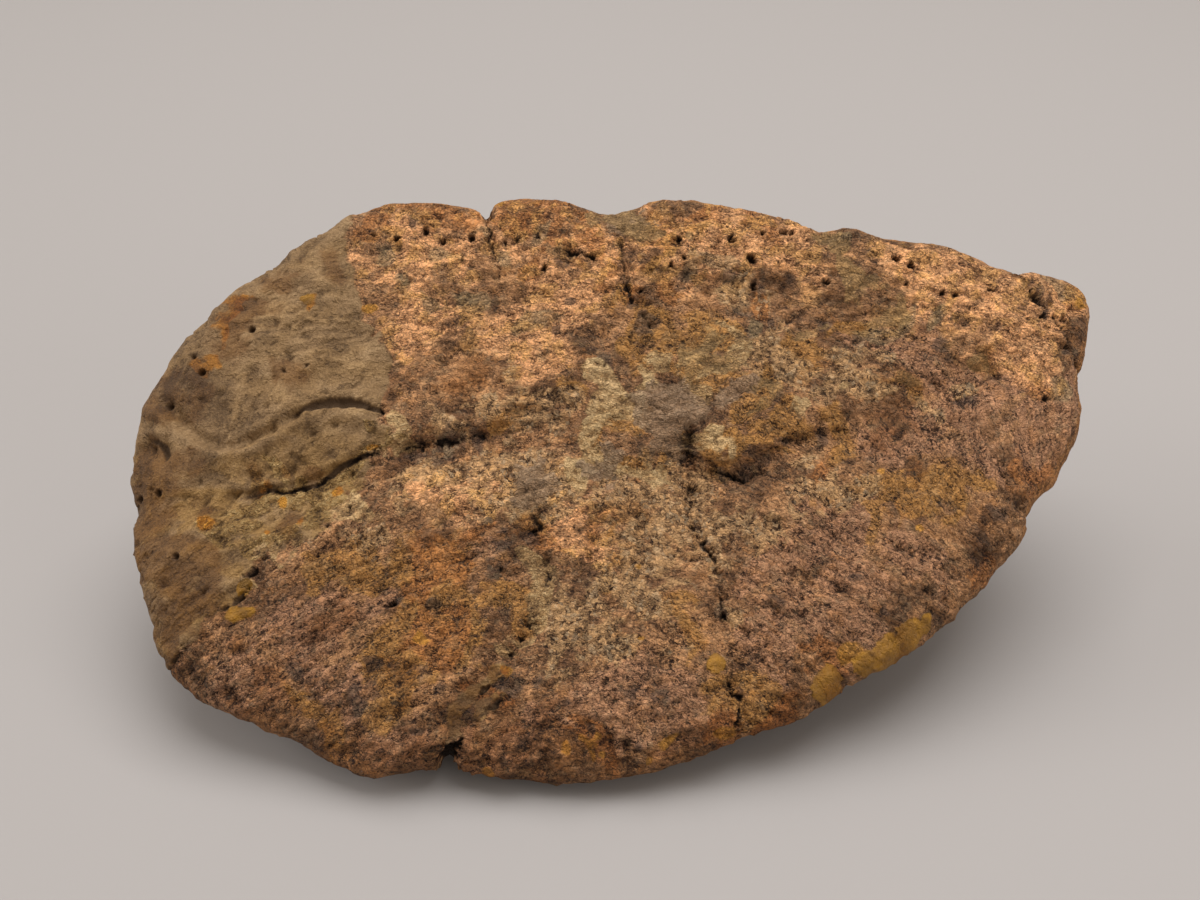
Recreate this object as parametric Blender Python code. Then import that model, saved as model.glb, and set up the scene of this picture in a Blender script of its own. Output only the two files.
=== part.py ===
"""Fossil ankylosaur scute: one oval plate of armour bone with a long low keel on its outer side.

It lies on one flank of the keel, with its hollow base up and leaning forward. +Z is up from the
table, +X runs along the plate, and +Y points away from the side that the base faces.
The plate is drawn in its own axes first: u along the base, v up the slope of the base and w out of
the base. The keel lies below the base, at negative w.
"""

import math

import bmesh
import bpy
from mathutils import Matrix, Vector, noise

MM = 0.001

# Driving dimensions of the plate, and how it lies.
LENGTH = 240 * MM
WIDTH = 150 * MM
RIM_HALF_THICKNESS = 6.5 * MM
RIM_ROLL = 9 * MM
DISH_DEPTH = 6 * MM
LEAN = math.radians(33)
CENTRE_HEIGHT = 47.5 * MM

# The outline of the base, as a compass turn from +u in degrees and a distance from the centre in mm.
OUTLINE = [
    (0, 110), (9, 119), (16, 125), (21, 132), (25, 131), (29, 118), (34, 110), (42, 97),
    (52, 88.5), (64, 82), (76, 78.5), (88, 77), (99, 79), (110, 81), (119, 86), (127, 94),
    (138, 100), (150, 105.5), (162, 113), (173, 116.5), (185, 117), (196, 113), (203, 113.5),
    (210, 107), (219, 97), (228, 91.5), (237, 86), (248, 76.5), (260, 73), (272, 71),
    (284, 70), (296, 69), (307, 72.5), (319, 75), (330, 83), (342, 92), (352, 101.5),
]

# Bites out of the rim, where pieces have broken away: (turn, depth in mm, half width in degrees).
RIM_BITES = [
    (30, 3, 2), (50, 2, 3), (90, 4, 6), (114, 4, 2.5), (184, 2.5, 2.5), (240, 6, 4), (357, 3, 2.5),
]

# The slopes of the keel: (the way each one falls, its reach from the centre, its steepness).
# The near slope is the one that the plate lies on, so it follows from the lean.
FAR_SLOPE = (math.radians(100), 82 * MM, 0.53)
LEFT_SLOPE = (math.radians(190), 114 * MM, 0.54)
RIGHT_SLOPE = (math.radians(10), 124 * MM, 0.80)
FLANK_HOLLOW = 1.25
RIM_BEVEL = 0.9
CREST_ROUNDING = 4 * MM
REST_SINK = 2.2 * MM

# How far the base falls away towards its rim on each side: (turn, fall, half width in degrees).
RIM_FALLS = [(265, 5 * MM, 60), (180, 3.5 * MM, 40), (335, 3 * MM, 30), (90, 1 * MM, 50)]
FALL_START = 0.72

# Long hollows and swellings of the base: (points in mm, depth in mm, half width in mm).
BASE_RELIEF = [
    ([(-112, -8), (-80, -6), (-48, 4), (-18, 10)], 3.0, 6),
    ([(20, 2), (45, 4), (75, 20), (98, 28)], 3.0, 6),
    ([(18, 46), (45, 46), (64, 36)], 2.0, 7),
    ([(-96, 38), (-70, 34), (-52, 22)], -1.5, 14),
    ([(-70, -12), (-40, -8), (-22, -12)], -1.5, 9),
    ([(28, 14), (40, 14)], -2.5, 7),
    ([(-16, -14), (-18, -34), (-32, -58)], 2.0, 6),
    ([(22, 0), (26, -30), (32, -56)], 1.5, 5),
]

# The tip at the right end hangs lower than the rest of the rim.
TIP_TURN = math.radians(25)
TIP_START = 108 * MM
TIP_DROP = 4 * MM

# Low uneven swelling of the two sides: (size of a lump, height).
BASE_LUMPS = [(26 * MM, 1.6 * MM)]
KEEL_LUMPS = [(36 * MM, 2.4 * MM), (17 * MM, 1 * MM)]

# How the surface is divided up.
CELLS_ACROSS = 28
ROLL_SHARE = 0.16

BONE_COLOUR = (0.33, 0.19, 0.11, 1)
BONE_ROUGHNESS = 0.9


def soft_min(values, rounding):
    """The lowest of the values, with the creases between them rounded over."""
    lowest = min(values)
    total = sum(math.exp((lowest - value) / rounding) for value in values)
    return lowest - rounding * math.log(total)


def smooth(low, high, value):
    share = min(max((value - low) / (high - low), 0), 1)
    return share * share * (3 - 2 * share)


def bell(distance, half_width):
    return math.exp(-((distance / half_width) ** 2))


def turn_between(a, b):
    """The signed difference of two compass turns, in degrees."""
    return (a - b + 180) % 360 - 180


def outline_radius(degrees):
    """Distance from the centre of the base to its outline, on a smooth curve through OUTLINE."""
    count = len(OUTLINE)
    after = next((i for i, (angle, _) in enumerate(OUTLINE) if angle > degrees), 0)
    knots = [OUTLINE[(after + step) % count] for step in (-2, -1, 0, 1)]
    angles = [turn_between(angle, degrees) for angle, _ in knots]
    radii = [radius for _, radius in knots]
    gap = angles[2] - angles[1]
    share = -angles[1] / gap
    slope_in = (radii[2] - radii[0]) / (angles[2] - angles[0]) * gap
    slope_out = (radii[3] - radii[1]) / (angles[3] - angles[1]) * gap
    rise = 3 * share**2 - 2 * share**3
    radius = radii[1] * (1 - rise) + radii[2] * rise
    radius += slope_in * (share**3 - 2 * share**2 + share)
    radius += slope_out * (share**3 - share**2)
    return radius * MM


def bite_depth(degrees):
    return sum(
        depth * MM * bell(turn_between(degrees, angle), half_width)
        for angle, depth, half_width in RIM_BITES
    )


def distance_to_line(u, v, points):
    """Distance from a place on the base to a line of points given in mm."""
    place = Vector((u, v))
    best = math.inf
    for start, end in zip(points, points[1:]):
        start, end = Vector(start) * MM, Vector(end) * MM
        run = end - start
        share = min(max((place - start).dot(run) / run.length_squared, 0), 1)
        best = min(best, (start + run * share - place).length)
    return best


def lumps(u, v, swellings):
    """Low uneven swelling of one side."""
    return sum(height * noise.noise(Vector((u, v, LENGTH)) / size) for size, height in swellings)


def tip_drop(u, v):
    """How far the right tip of the plate hangs down."""
    along = u * math.cos(TIP_TURN) + v * math.sin(TIP_TURN)
    return TIP_DROP * smooth(TIP_START, TIP_START + 2 * RIM_ROLL, along)


def base_relief(u, v, degrees, share):
    """Height of the base over the middle of the plate: a dish that falls away at its rim."""
    height = -DISH_DEPTH * (1 - share**2)
    for angle, fall, half_width in RIM_FALLS:
        reach = bell(turn_between(degrees, angle), half_width)
        height -= fall * reach * smooth(FALL_START, 1, share) * share
    for points, depth, half_width in BASE_RELIEF:
        height -= depth * MM * bell(distance_to_line(u, v, points), half_width * MM)
    return height + lumps(u, v, BASE_LUMPS)


def slope_depth(u, v, slope):
    """Depth of one hollowed slope of the keel."""
    turn, reach, steepness = slope
    inward = max(reach - u * math.cos(turn) - v * math.sin(turn), 0)
    return inward * steepness * (inward / reach) ** (FLANK_HOLLOW - 1)


def keel_swell(u, v, inside):
    """How far the keel stands out from the plate, at a distance inside the outline."""
    table = (CENTRE_HEIGHT + v * math.sin(LEAN)) / math.cos(LEAN)
    slopes = [slope_depth(u, v, slope) for slope in (FAR_SLOPE, LEFT_SLOPE, RIGHT_SLOPE)]
    slopes.append(table + REST_SINK - RIM_HALF_THICKNESS)
    slopes.append(inside * RIM_BEVEL)
    return max(soft_min(slopes, CREST_ROUNDING) + lumps(u, v, KEEL_LUMPS), 0)


def plate_point(direction):
    """The point of the plate for a direction from a ball's centre: up is the base, down the keel."""
    turn = math.atan2(direction.y * WIDTH, direction.x * LENGTH)
    degrees = math.degrees(turn) % 360
    fall = math.acos(max(-1, min(1, direction.z))) / (math.pi / 2)
    share = min(fall, 2 - fall)
    outline = outline_radius(degrees)
    if share < 1 - ROLL_SHARE:
        radius = (outline - RIM_ROLL) * share / (1 - ROLL_SHARE)
        lift = RIM_HALF_THICKNESS
    else:
        roll = (share - 1 + ROLL_SHARE) / ROLL_SHARE * math.pi / 2
        radius = outline - RIM_ROLL * (1 - math.sin(roll))
        lift = RIM_HALF_THICKNESS * math.cos(roll)
    inside = outline - radius
    radius -= bite_depth(degrees) * smooth(1 - 2 * ROLL_SHARE, 1, share)
    u, v = radius * math.cos(turn), radius * math.sin(turn)
    relief = base_relief(u, v, degrees, radius / outline)
    if fall <= 1:
        w = lift + relief
    else:
        edge = lift / RIM_HALF_THICKNESS
        w = relief * (1 - edge) - lift - keel_swell(u, v, inside) * edge
    return Vector((u, v, w - tip_drop(u, v)))


def rounded_block():
    """A cube divided evenly and blown up into a ball, so that its cells have no crowded poles."""
    block = bmesh.new()
    bmesh.ops.create_cube(block, size=2)
    bmesh.ops.subdivide_edges(
        block, edges=block.edges[:], cuts=CELLS_ACROSS - 1, use_grid_fill=True
    )
    for vertex in block.verts:
        even = [math.tan(axis * math.pi / 4) for axis in vertex.co]
        vertex.co = Vector(even).normalized()
    return block


def bone_material():
    material = bpy.data.materials.new("fossil_bone")
    material.use_nodes = True
    surface = material.node_tree.nodes["Principled BSDF"]
    surface.inputs["Base Color"].default_value = BONE_COLOUR
    surface.inputs["Roughness"].default_value = BONE_ROUGHNESS
    surface.inputs["Metallic"].default_value = 0
    return material


def middle(values):
    return (min(values) + max(values)) / 2


def set_down(block):
    """Stand the plate on the near slope of its keel, over the origin, with the foot worn flat."""
    lean = Matrix.Rotation(LEAN, 4, "X")
    for vertex in block.verts:
        place = lean @ vertex.co
        place.z = max(place.z + CENTRE_HEIGHT, 0)
        vertex.co = place
    across = middle([vertex.co.x for vertex in block.verts])
    back = middle([vertex.co.y for vertex in block.verts])
    bmesh.ops.translate(block, verts=block.verts[:], vec=(-across, -back, 0))


def scute(collection):
    """The whole plate as one solid."""
    block = rounded_block()
    for vertex in block.verts:
        vertex.co = plate_point(vertex.co)
    set_down(block)
    bmesh.ops.recalc_face_normals(block, faces=block.faces[:])
    mesh = bpy.data.meshes.new("scute")
    block.to_mesh(mesh)
    block.free()
    mesh.shade_smooth()
    mesh.materials.append(bone_material())
    plate = bpy.data.objects.new("scute", mesh)
    collection.objects.link(plate)


def main():
    for old in list(bpy.data.objects):
        bpy.data.objects.remove(old)
    collection = bpy.data.collections.new("ankylosaur_scute")
    bpy.context.scene.collection.children.link(collection)
    scute(collection)


main()
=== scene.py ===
"""Fossil ankylosaur scute: the finished surface of one keeled plate of armour bone, lying on a table."""
import math

import bmesh
import bpy
import numpy as np
from mathutils import Matrix, Vector, geometry, noise
from mathutils.bvhtree import BVHTree


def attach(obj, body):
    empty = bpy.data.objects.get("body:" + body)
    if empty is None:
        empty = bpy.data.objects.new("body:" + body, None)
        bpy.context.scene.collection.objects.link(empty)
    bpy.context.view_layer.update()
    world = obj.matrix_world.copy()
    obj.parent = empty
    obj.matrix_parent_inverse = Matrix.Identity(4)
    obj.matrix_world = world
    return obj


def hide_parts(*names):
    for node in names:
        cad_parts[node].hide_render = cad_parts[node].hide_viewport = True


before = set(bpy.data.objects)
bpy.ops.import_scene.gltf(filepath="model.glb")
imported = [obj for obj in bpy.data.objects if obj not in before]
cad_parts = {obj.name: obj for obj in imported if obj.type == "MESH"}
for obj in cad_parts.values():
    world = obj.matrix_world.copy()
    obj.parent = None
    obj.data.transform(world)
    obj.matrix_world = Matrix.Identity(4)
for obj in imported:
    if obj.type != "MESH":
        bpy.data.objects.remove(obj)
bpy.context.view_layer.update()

# ---- The viewpoint ----
# The plate is looked down on from in front of the table, so that its hollow base fills the view.
# Marks on the bone are placed by where they show from here, in pixels of a 1200 by 900 frame.

MM = 0.001
FRAME_WIDTH, FRAME_HEIGHT = 1200, 900
VIEW_ANGLE = math.radians(45)
DOWNWARD_TILT = math.radians(38)
VIEW_DISTANCE = 372.3 * MM
LOOK_AT = Vector((-4.7, 17.1, 40)) * MM
CLOSEST = 10


def put_in_scene(name, data):
    """A new object that shows in the scene."""
    made = bpy.data.objects.new(name, data)
    bpy.context.scene.collection.objects.link(made)
    return made


camera = put_in_scene("camera", bpy.data.cameras.new("camera"))
camera.data.sensor_fit = "HORIZONTAL"
camera.data.angle = VIEW_ANGLE
camera.data.clip_start = CLOSEST * MM
camera_turn = Matrix.Rotation(math.pi / 2 - DOWNWARD_TILT, 3, "X")
camera.rotation_euler = camera_turn.to_euler()
camera.location = LOOK_AT + camera_turn @ Vector((0, 0, VIEW_DISTANCE))
bpy.context.scene.camera = camera


def sight_line(x, y):
    """The direction in which the camera sees a pixel."""
    focal = FRAME_WIDTH / 2 / math.tan(VIEW_ANGLE / 2)
    seen = Vector((x - FRAME_WIDTH / 2, FRAME_HEIGHT / 2 - y, -focal))
    return (camera_turn @ seen).normalized()


# ---- The bone blank ----
# One plate of mineralised bone, hollow on its base and keeled on its outer side.
# Its skin is made from the CAD solid: smoothed, meshed evenly, and meshed finer on the base.

LEAN = math.radians(33)
PLATE_CENTRE = Vector((-3.1, -5, 47.5)) * MM
WELD_GAP = 0.01 * MM
SAME_FACE = math.radians(40)
ROUNDING_LEVELS = 2
KEEL_MESH_SIZE = 1.54 * MM
BASE_STARTS = 0.35

to_plate = Matrix.Rotation(-LEAN, 3, "X")
plate_pose = Matrix.Translation(PLATE_CENTRE) @ Matrix.Rotation(LEAN, 4, "X")
base_normal = plate_pose.to_3x3() @ Vector((0, 0, 1))

blank = put_in_scene("scute_skin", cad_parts["scute"].data.copy())
blank.data.materials.clear()
welded = bmesh.new()
welded.from_mesh(blank.data)
bmesh.ops.remove_doubles(welded, verts=welded.verts[:], dist=WELD_GAP)
bmesh.ops.join_triangles(
    welded, faces=welded.faces[:], angle_face_threshold=SAME_FACE, angle_shape_threshold=SAME_FACE
)
bmesh.ops.transform(welded, matrix=plate_pose.inverted(), verts=welded.verts[:])
welded.to_mesh(blank.data)
welded.free()

rounded = blank.modifiers.new("rounded", "SUBSURF")
rounded.levels = rounded.render_levels = ROUNDING_LEVELS
even = blank.modifiers.new("even", "REMESH")
even.mode = "VOXEL"
even.voxel_size = KEEL_MESH_SIZE


def settle(piece):
    """Turns what a piece's modifiers make into its own plain mesh."""
    evaluated = piece.evaluated_get(bpy.context.evaluated_depsgraph_get())
    done = bpy.data.meshes.new_from_object(evaluated)
    piece.modifiers.clear()
    piece.data = done
    return done


def point_rows(mesh, field):
    """One row of three for each point of a mesh: its place ("co") or the way it faces ("normal")."""
    flat = np.empty(len(mesh.vertices) * 3)
    mesh.vertices.foreach_get(field, flat)
    return flat.reshape(-1, 3)


def plate_places(mesh):
    """The points' places in mm: along the plate, up the slope of its base, and out of the base."""
    return (point_rows(mesh, "co") - np.array(PLATE_CENTRE)) @ np.array(to_plate).T / MM


def facing_out(mesh):
    """How squarely each point of a mesh faces out of the base: 1 if fully, 0 if side on."""
    return point_rows(mesh, "normal") @ np.array(base_normal)


def divide(mesh, chosen):
    """Halves each edge of a mesh whose two ends are both chosen."""
    work = bmesh.new()
    work.from_mesh(mesh)
    edges = [edge for edge in work.edges if all(chosen[point.index] for point in edge.verts)]
    bmesh.ops.subdivide_edges(work, edges=edges, cuts=1, use_grid_fill=True)
    work.to_mesh(mesh)
    work.free()


skin = settle(blank)
skin.transform(plate_pose)
divide(skin, facing_out(skin) > BASE_STARTS)
skin_tree = BVHTree.FromPolygons([v.co for v in skin.vertices], [p.vertices[:] for p in skin.polygons])


def on_base(x, y):
    """Where a pixel falls on the plate, in mm along it and up the slope of its base."""
    eye = camera.location
    sight = sight_line(x, y)
    place = skin_tree.ray_cast(eye, sight)[0]
    if place is None:
        place = geometry.intersect_line_plane(eye, eye + sight, PLATE_CENTRE, base_normal)
    along, up, _ = to_plate @ (place - PLATE_CENTRE) / MM
    return along, up


def all_on_base(pixels):
    return [on_base(x, y) for x, y, *_ in pixels]


def gap_to_line(flat, line):
    """Distance in mm from each place on the base to the nearest stretch of a line of points."""
    nearest = np.full(len(flat), np.inf)
    for start, end in zip(line, line[1:]):
        start, run = np.array(start), np.subtract(end, start)
        share = np.clip((flat - start) @ run / (run @ run), 0, 1)
        nearest = np.minimum(nearest, np.hypot(*(flat - start - share[:, None] * run).T))
    return nearest


# ---- Cracks and vessel holes ----
# The plate broke along lines that run out from its middle, and was glued and filled again.
# The holes near its rim are where blood vessels went into the bone. Both are kept as flat drawings.

# Each crack is a row of (x, y, half its width in mm).
CRACKS = {
    "left groove": [
        (240, 499, 0.1), (262, 494, 0.2), (272, 491, 0.45), (284, 494, 0.35), (296, 490, 0.3),
        (307, 488, 0.5), (320, 484, 0.35), (332, 476, 0.5), (339, 469, 0.75), (350, 463, 0.65),
        (364, 457, 0.5), (374, 452, 0.25), (381, 449, 0.1),
    ],
    "left groove, inner end": [
        (400, 452, 0.1), (420, 447, 0.35), (440, 443, 0.4), (462, 441, 0.25), (484, 434, 0.1),
    ],
    "slit in the putty": [
        (294, 416, 0.1), (304, 410, 0.5), (316, 406, 0.9), (332, 403, 1.15), (350, 403, 1.1),
        (366, 406, 0.7), (382, 413, 0.3),
    ],
    "lower left": [
        (267, 558, 0.1), (258, 567, 0.4), (250, 577, 0.3), (247, 592, 0.2), (238, 601, 0.5),
        (222, 610, 0.2),
    ],
    "lower left rim": [
        (200, 634, 0.15), (192, 641, 0.4), (178, 656, 0.15), (166, 667, 0.4), (158, 674, 0.3),
    ],
    "top left": [
        (483, 200, 1.0), (485, 211, 0.35), (488, 231, 0.15), (493, 250, 0.12), (498, 267, 0.1),
        (502, 287, 0.05),
    ],
    "top middle": [
        (621, 241, 0.3), (622, 256, 0.1), (624, 272, 0.15), (627, 285, 0.4), (632, 297, 0.2),
        (640, 307, 0.5), (648, 318, 0.3), (654, 328, 0.1),
    ],
    "lower middle": [
        (536, 520, 0.2), (538, 530, 0.7), (541, 541, 0.3), (547, 560, 0.1), (548, 574, 0.2),
        (547, 586, 0.1),
    ],
    "lower middle, rim": [
        (532, 616, 0.15), (524, 631, 0.55), (517, 640, 0.2), (510, 653, 0.4), (507, 660, 0.1),
        (494, 680, 0.6), (484, 688, 0.5), (477, 697, 0.1),
    ],
    "under the lens": [(472, 720, 0.1), (484, 714, 0.3), (496, 706, 0.35), (506, 697, 0.1)],
    "bottom notch": [(461, 738, 0.3), (459, 744, 0.8), (449, 752, 1.3), (444, 768, 1.9), (442, 790, 2.2)],
    "lower right": [
        (690, 425, 0.05), (688, 441, 0.2), (689, 460, 0.1), (693, 480, 0.3), (690, 494, 0.05),
        (692, 520, 0.05), (699, 540, 0.25), (711, 556, 0.2), (717, 569, 0.1), (721, 592, 0.12),
        (723, 612, 0.25), (726, 625, 0.05), (731, 648, 0.05), (733, 664, 0.1), (729, 684, 0.3),
        (734, 693, 0.7), (741, 697, 0.4),
    ],
    "lower right, rim": [(739, 712, 0.25), (738, 728, 0.4), (737, 742, 0.6)],
    "tip": [
        (1012, 262, 0.9), (1019, 276, 0.4), (1025, 287, 0.3), (1034, 297, 0.4), (1045, 306, 0.2),
        (1054, 318, 0.4), (1063, 330, 0.15), (1068, 347, 0.5), (1073, 357, 1.0), (1080, 368, 0.7),
        (1086, 374, 0.5),
    ],
    "step in the right rim": [(1022, 508, 0.3), (1028, 515, 0.6), (1037, 520, 0.9)],
    "under the ochre lump": [(712, 471, 0.1), (728, 474, 0.35), (745, 477, 0.3), (762, 470, 0.1)],
    "over the pink strands": [
        (768, 450, 0.1), (784, 443, 0.3), (800, 440, 0.15), (816, 434, 0.4), (836, 430, 0.1),
    ],
    "long vessel hole": [(570, 251, 0.5), (583, 254, 0.3), (595, 257, 0.55)],
    "thumb hole": [(150, 440, 0.2), (157, 442, 0.5), (163, 446, 0.8), (166, 454, 0.7), (165, 459, 0.3)],
}

# These are open all along. The others are filled here and there, so that they show as broken lines.
OPEN_ALL_ALONG = ("slit in the putty", "thumb hole", "bottom notch", "long vessel hole", "left groove")

# Each hole is (x, y, radius in mm).
HOLES = [
    (375, 234, 0.7), (390, 235, 0.5), (397, 238, 1.0), (426, 230, 0.8), (444, 241, 0.8), (471, 238, 1.1),
    (505, 244, 0.8), (537, 237, 0.6), (543, 268, 0.9), (678, 239, 0.9), (686, 256, 0.8), (731, 238, 0.8),
    (752, 257, 1.2), (763, 235, 0.8), (783, 232, 0.9), (790, 232, 0.7), (753, 287, 0.9), (826, 281, 0.8),
    (897, 257, 1.1), (912, 266, 0.9), (907, 284, 0.6), (944, 292, 1.0), (954, 294, 0.8), (990, 290, 0.8),
    (969, 308, 0.5), (1036, 297, 0.9), (1044, 315, 0.8), (1064, 319, 0.9), (1046, 399, 0.7),
    (253, 331, 1.0), (194, 357, 0.5), (202, 373, 0.9), (168, 406, 0.9), (284, 371, 0.5), (307, 366, 0.4),
    (177, 557, 0.8), (159, 493, 0.8), (140, 500, 0.8), (463, 260, 0.5), (519, 239, 0.5), (541, 525, 0.9),
    (702, 543, 0.9), (711, 555, 0.9), (723, 616, 1.1), (604, 365, 0.4), (392, 605, 1.0), (499, 569, 0.7),
    (670, 264, 0.6), (640, 290, 0.6), (350, 507, 0.7), (329, 525, 0.6), (318, 510, 0.3),
]


def drawing(name, groups, joined):
    """Points drawn flat in the plate's axes, each with its mark's reach, joined within a group or not."""
    points, edges, reach, whole = [], [], [], []
    for label, group in groups.items():
        start = len(points)
        points += [(*place, 0) for place in all_on_base(group)]
        reach += [size * MM for *_, size in group]
        whole += [float(label in OPEN_ALL_ALONG)] * len(group)
        if joined:
            edges += [(i, i + 1) for i in range(start, len(points) - 1)]
    mesh = bpy.data.meshes.new(name)
    mesh.from_pydata([Vector(point) * MM for point in points], edges, [])
    for field, values in (("reach", reach), ("whole", whole)):
        mesh.attributes.new(field, "FLOAT", "POINT").data.foreach_set("value", values)
    return put_in_scene(name, mesh)


crack_drawing = drawing("crack_drawing", CRACKS, joined=True)
hole_drawing = drawing("hole_drawing", {"holes": HOLES}, joined=False)

# The skin is meshed finer near each mark, unless it lies further down than the base does, in mm.
FINE_MARGIN = 1.2
LOWEST_BASE = -9

coarse_mm = plate_places(skin)
fine = np.zeros(len(coarse_mm), bool)
for group in CRACKS.values():
    widest = max(size for *_, size in group)
    fine |= gap_to_line(coarse_mm[:, :2], all_on_base(group)) < widest + FINE_MARGIN
for x, y, size in HOLES:
    fine |= np.hypot(*(coarse_mm[:, :2] - on_base(x, y)).T) < size + FINE_MARGIN
divide(skin, fine & (coarse_mm[:, 2] > LOWEST_BASE))

# ---- Putty and glue ----
# The left end and the broken edges are made up with brown putty, pressed on wet and smoothed by hand.
# It was also wiped thinly over the middle. Beads of yellow glue sit along some of the joins.

# Each patch is the outline of an area of putty.
PUTTY = {
    "left end": [
        (362, 190), (356, 216), (346, 232), (345, 251), (358, 280), (364, 302), (365, 323), (388, 343),
        (394, 358), (391, 379), (384, 396), (386, 420), (411, 435), (398, 452), (372, 459), (352, 510),
        (320, 537), (297, 549), (268, 555), (251, 575), (249, 593), (238, 601), (222, 610), (197, 637),
        (177, 657), (158, 674), (110, 690), (80, 450), (130, 310), (230, 215), (320, 175),
    ],
    "lens": [(472, 719), (474, 703), (491, 692), (507, 690), (502, 701), (484, 715)],
    "bottom notch": [
        (447, 704), (462, 690), (484, 676), (503, 655), (509, 668), (498, 680), (474, 698), (462, 718),
        (462, 736), (448, 741),
    ],
}
# Each wiped patch is the outline of an area where the putty is only a film over the bone.
WIPED = {
    "top notch": [
        (572, 190), (583, 208), (598, 214), (603, 232), (622, 238), (641, 236), (655, 224), (640, 214),
        (628, 206), (632, 190),
    ],
    "middle": [
        (628, 397), (644, 385), (674, 379), (690, 386), (704, 396), (720, 386), (738, 377), (761, 371),
        (770, 380), (760, 390), (727, 406), (714, 418), (690, 432), (684, 460), (664, 466), (650, 440),
        (635, 415),
    ],
    "left of the middle": [(518, 470), (548, 462), (556, 486), (538, 510), (518, 505)],
    "below the middle": [
        (598, 436), (610, 440), (630, 456), (622, 464), (614, 482), (594, 483), (583, 470), (602, 458),
    ],
}
# Each bead is (x, y, half its length in mm, half its width in mm, its turn in degrees).
BEADS = [
    (245, 587, 2.6, 1.5, 80), (240, 614, 3.6, 2.0, 15), (716, 664, 2.7, 2.2, 100), (826, 684, 4.6, 3.6, 60),
    (866, 662, 4.2, 2.6, 25), (887, 652, 4.8, 3.6, 30), (908, 636, 4.6, 3.2, 45), (925, 624, 2.8, 1.8, 55),
    (308, 300, 2.4, 1.4, -20),
]
# Each fold is (its line, half its width in mm, its height in mm), and a hollow has a height below zero.
FOLDS = [
    ([(262, 441), (288, 429), (310, 420), (335, 415), (362, 417), (384, 428)], 2.2, 1.3),
    ([(285, 408), (310, 396), (335, 391), (362, 394), (386, 406)], 2.0, 0.9),
    ([(158, 414), (174, 432), (195, 447), (215, 455), (235, 455), (258, 447), (280, 438)], 1.5, 1.5),
    ([(170, 404), (184, 424), (204, 440), (226, 446), (250, 440), (272, 430)], 1.5, -1.8),
    ([(249, 437), (268, 432), (284, 424), (297, 414)], 1.2, -1.3),
    ([(149, 447), (163, 453)], 2.6, -1.8),
    ([(141, 444), (147, 433), (160, 432), (173, 441), (177, 454), (172, 464)], 1.1, 0.9),
    ([(245, 335), (248, 342), (256, 344), (263, 339)], 0.8, 0.6),
    ([(392, 232), (384, 262), (392, 300)], 2.5, -0.5),
    ([(240, 489), (280, 483), (312, 474), (338, 459), (356, 448)], 1.6, 1.0),
    ([(250, 345), (290, 352), (330, 368), (362, 372)], 3.0, 0.6),
    ([(215, 330), (250, 318), (300, 322), (345, 345)], 3.0, 0.5),
    ([(200, 395), (250, 400), (300, 385)], 2.5, 0.5),
    ([(345, 330), (375, 352), (388, 372)], 2.0, -0.5),
    ([(175, 520), (215, 530), (250, 520)], 2.5, 0.5),
    ([(844, 236), (866, 228)], 2.2, 0.8),
    ([(708, 450), (735, 453), (758, 446)], 3.2, 1.4),
    ([(712, 473), (742, 475), (766, 467)], 1.7, -1.5),
    ([(764, 456), (790, 444), (815, 437), (842, 434)], 1.6, -1.2),
    ([(686, 422), (688, 450), (688, 474)], 1.5, -1.1),
    ([(690, 280), (720, 284), (745, 290), (775, 298), (810, 292)], 3.5, -1.2),
    ([(400, 452), (430, 446), (462, 442), (490, 433)], 3.0, -1.6),
    ([(395, 436), (425, 430), (460, 426)], 2.5, 1.0),
    ([(230, 497), (270, 489), (318, 480), (350, 459)], 1.0, -0.8),
    ([(240, 506), (285, 499), (325, 494), (365, 472)], 1.6, 0.7),
    ([(690, 440), (690, 470), (692, 500)], 2.2, -1.2),
    ([(536, 515), (541, 540), (546, 570)], 2.2, -1.2),
    ([(520, 635), (500, 668), (470, 705), (452, 740)], 2.5, -1.3),
    ([(625, 270), (632, 297), (652, 325)], 2.2, -1.2),
    ([(560, 395), (600, 384), (640, 388)], 5.0, 0.8),
    ([(900, 500), (960, 470), (1010, 440)], 6.0, 0.8),
    ([(560, 690), (620, 700), (680, 690)], 7.0, 0.8),
    ([(330, 690), (390, 705), (420, 700)], 6.0, 0.9),
    ([(1040, 285), (1062, 290), (1078, 312), (1076, 335)], 2.5, 1.0),
    ([(481, 190), (484, 204), (486, 214)], 2.0, -2.8),
    ([(921, 291), (929, 291)], 1.4, -1.0),
    ([(1047, 370), (1056, 372)], 2.0, -1.5),
    ([(585, 200), (606, 208), (628, 204)], 5.0, -1.6),
    ([(812, 222), (822, 232)], 3.0, -1.6),
    ([(1010, 250), (1016, 266)], 2.6, -2.4),
    ([(474, 713), (487, 704), (499, 696)], 1.9, 1.4),
    ([(244, 475), (280, 475), (318, 467)], 2.2, -0.7),
]

# Points far from any putty or glue, or on the keel side, are given this depth in mm.
FAR_OUTSIDE = -9.0

# The base gives way to the keel side below this height, over a few mm.
BASE_ENDS = -7
BASE_FADE = 3

# The rim faces between these two ways. Its upper right half is worn to a rind, past a slanting line.
RIM_FACING = (0.86, -0.5)
RIM_FADES = (0.3, 0.4)
RIND_SLANT = 0.35
RIND_STARTS = 5
RIND_FADE = 25


def inside_depth(flat, outline):
    """How far inside an outline each place lies, in mm, and below zero outside it."""
    inside = np.zeros(len(flat), bool)
    x, y = flat.T
    for (x0, y0), (x1, y1) in zip(outline, outline[1:] + outline[:1]):
        crosses = (y0 > y) != (y1 > y)
        inside ^= crosses & (x < x0 + (y - y0) / (y1 - y0 + 1e-9) * (x1 - x0))
    edge = gap_to_line(flat, outline + outline[:1])
    return np.where(inside, edge, -edge)


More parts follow.
